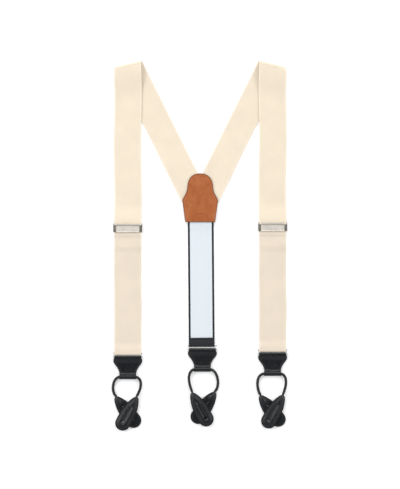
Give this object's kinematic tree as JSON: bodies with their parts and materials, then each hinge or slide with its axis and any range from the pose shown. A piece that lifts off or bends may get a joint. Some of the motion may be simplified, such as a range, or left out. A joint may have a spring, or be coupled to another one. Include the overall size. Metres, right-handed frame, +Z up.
{
  "type": "suspenders",
  "caption": "Button-on dress suspenders laid flat: cream webbing with flip adjusters, leather back patch, elastic back strap, and keyhole leather ears hung on cords from wire rings.",
  "frame": {"origin": "middle of the footprint, on the surface that the suspenders lie on", "axes": "+X across the wearer, towards the right of the laid-out view; +Y from the trouser buttons up to the shoulder folds; +Z up off the surface, out of the viewed side"},
  "size_m": [0.2464, 0.5178, 0.0085],
  "materials": {
    "webbing": "matt cream ribbed webbing",
    "elastic": "woven elastic, white panel with black edges",
    "patch_leather": "smooth cognac leather with a burnished edge",
    "black_leather": "fine-grained black leather, semi-gloss",
    "cord": "braided black cord",
    "adjuster_metal": "satin nickel plate",
    "ring_metal": "bright nickel-plated wire"
  },
  "bodies": {
    "back": {"back_patch": "patch_leather", "back_patch_lining": "patch_leather", "left_back_strap": "webbing", "right_back_strap": "webbing", "left_shoulder_bend": "webbing", "right_shoulder_bend": "webbing", "back_elastic": "elastic"},
    "left_front": {"left_front_strap": "webbing"},
    "left_adjuster": {"left_adjuster_frame": "adjuster_metal", "left_adjuster_pin": "adjuster_metal", "left_strap_loop": "webbing"},
    "left_lever": {"left_adjuster_lever": "adjuster_metal"},
    "right_front": {"right_front_strap": "webbing"},
    "right_adjuster": {"right_adjuster_frame": "adjuster_metal", "right_adjuster_pin": "adjuster_metal", "right_strap_loop": "webbing"},
    "right_lever": {"right_adjuster_lever": "adjuster_metal"},
    "left_ring": {"left_ring": "ring_metal"},
    "left_tab": {"left_tab_face": "black_leather", "left_tab_backing": "black_leather"},
    "left_cord": {"left_cord": "cord"},
    "left_lower_ear": {"left_lower_ear_face": "black_leather", "left_lower_ear_backing": "black_leather"},
    "left_upper_ear": {"left_upper_ear_face": "black_leather", "left_upper_ear_backing": "black_leather"},
    "right_ring": {"right_ring": "ring_metal"},
    "right_tab": {"right_tab_face": "black_leather", "right_tab_backing": "black_leather"},
    "right_cord": {"right_cord": "cord"},
    "right_lower_ear": {"right_lower_ear_face": "black_leather", "right_lower_ear_backing": "black_leather"},
    "right_upper_ear": {"right_upper_ear_face": "black_leather", "right_upper_ear_backing": "black_leather"},
    "back_ring": {"back_ring": "ring_metal"},
    "back_tab": {"back_tab_face": "black_leather", "back_tab_backing": "black_leather"},
    "back_cord": {"back_cord": "cord"},
    "back_upper_ear": {"back_upper_ear_face": "black_leather", "back_upper_ear_backing": "black_leather"},
    "back_lower_ear": {"back_lower_ear_face": "black_leather", "back_lower_ear_backing": "black_leather"}
  },
  "joints": [
    {"name": "left_shoulder_fold", "type": "hinge", "parent": "back", "child": "left_front", "pos_m": [-0.09936, 0.25045, 0.0041], "axis": [-0.9736, -0.2284, 0], "range_deg": [0, 170], "deforming": ["left_shoulder_bend"]},
    {"name": "left_adjuster_slide", "type": "slide", "parent": "left_front", "child": "left_adjuster", "axis": [0, 1, 0], "range_m": [-0.12, 0.1], "deforming": ["left_strap_loop", "left_front_strap"]},
    {"name": "left_lever_flip", "type": "hinge", "parent": "left_adjuster", "child": "left_lever", "pos_m": [-0.10062, 0.0291, 0.0071], "axis": [-1, 0, 0], "range_deg": [0, 110]},
    {"name": "left_ring_slide", "type": "slide", "parent": "left_adjuster", "child": "left_ring", "axis": [0, 1, 0], "range_m": [-0.05, 0.06]},
    {"name": "right_shoulder_fold", "type": "hinge", "parent": "back", "child": "right_front", "pos_m": [0.10073, 0.25045, 0.0041], "axis": [-0.9736, 0.2284, 0], "range_deg": [0, 170], "deforming": ["right_shoulder_bend"]},
    {"name": "right_adjuster_slide", "type": "slide", "parent": "right_front", "child": "right_adjuster", "axis": [0, 1, 0], "range_m": [-0.12, 0.1], "deforming": ["right_strap_loop", "right_front_strap"]},
    {"name": "right_lever_flip", "type": "hinge", "parent": "right_adjuster", "child": "right_lever", "pos_m": [0.10198, 0.0305, 0.0071], "axis": [-1, 0, 0], "range_deg": [0, 110]},
    {"name": "right_ring_slide", "type": "slide", "parent": "right_adjuster", "child": "right_ring", "axis": [0, 1, 0], "range_m": [-0.05, 0.06]},
    {"name": "back_elastic_stretch", "type": "slide", "parent": "back", "child": "back_ring", "axis": [0, -1, 0], "range_m": [0, 0.06], "stiffness_N_per_m": 150, "deforming": ["back_elastic"]},
    {"name": "left_tab_swing", "type": "hinge", "parent": "left_ring", "child": "left_tab", "pos_m": [-0.10062, -0.1564, 0.0024], "axis": [-1, 0, 0], "range_deg": [0, 90]},
    {"name": "left_cord_swing", "type": "hinge", "parent": "left_tab", "child": "left_cord", "pos_m": [-0.10062, -0.1838, 0.0033], "axis": [-1, 0, 0], "range_deg": [0, 60]},
    {"name": "left_lower_ear_swing", "type": "hinge", "parent": "left_cord", "child": "left_lower_ear", "pos_m": [-0.11543, -0.21521, 0.00125], "axis": [0, 0, -1], "range_deg": [0, 45]},
    {"name": "left_upper_ear_swing", "type": "hinge", "parent": "left_cord", "child": "left_upper_ear", "pos_m": [-0.08945, -0.21557, 0.00405], "axis": [0, 0, 1], "range_deg": [0, 45]},
    {"name": "right_tab_swing", "type": "hinge", "parent": "right_ring", "child": "right_tab", "pos_m": [0.10198, -0.1518, 0.0024], "axis": [-1, 0, 0], "range_deg": [0, 90]},
    {"name": "right_cord_swing", "type": "hinge", "parent": "right_tab", "child": "right_cord", "pos_m": [0.10198, -0.1792, 0.0033], "axis": [-1, 0, 0], "range_deg": [0, 60]},
    {"name": "right_lower_ear_swing", "type": "hinge", "parent": "right_cord", "child": "right_lower_ear", "pos_m": [0.08667, -0.21361, 0.00125], "axis": [0, 0, -1], "range_deg": [0, 45]},
    {"name": "right_upper_ear_swing", "type": "hinge", "parent": "right_cord", "child": "right_upper_ear", "pos_m": [0.11508, -0.21294, 0.00405], "axis": [0, 0, 1], "range_deg": [0, 45]},
    {"name": "back_tab_swing", "type": "hinge", "parent": "back_ring", "child": "back_tab", "pos_m": [0.00368, -0.1459, 0.0024], "axis": [-1, 0, 0], "range_deg": [0, 90]},
    {"name": "back_cord_swing", "type": "hinge", "parent": "back_tab", "child": "back_cord", "pos_m": [0.00368, -0.1733, 0.0033], "axis": [-1, 0, 0], "range_deg": [0, 60]},
    {"name": "back_upper_ear_swing", "type": "hinge", "parent": "back_cord", "child": "back_upper_ear", "pos_m": [-0.00918, -0.20977, 0.00405], "axis": [0, 0, -1], "range_deg": [0, 45]},
    {"name": "back_lower_ear_swing", "type": "hinge", "parent": "back_cord", "child": "back_lower_ear", "pos_m": [0.01945, -0.20872, 0.00125], "axis": [0, 0, 1], "range_deg": [0, 45]}
  ],
  "couplings": [
    {"joint": "left_ring_slide", "follows": "left_adjuster_slide", "ratio": -0.5},
    {"joint": "right_ring_slide", "follows": "right_adjuster_slide", "ratio": -0.5}
  ]
}
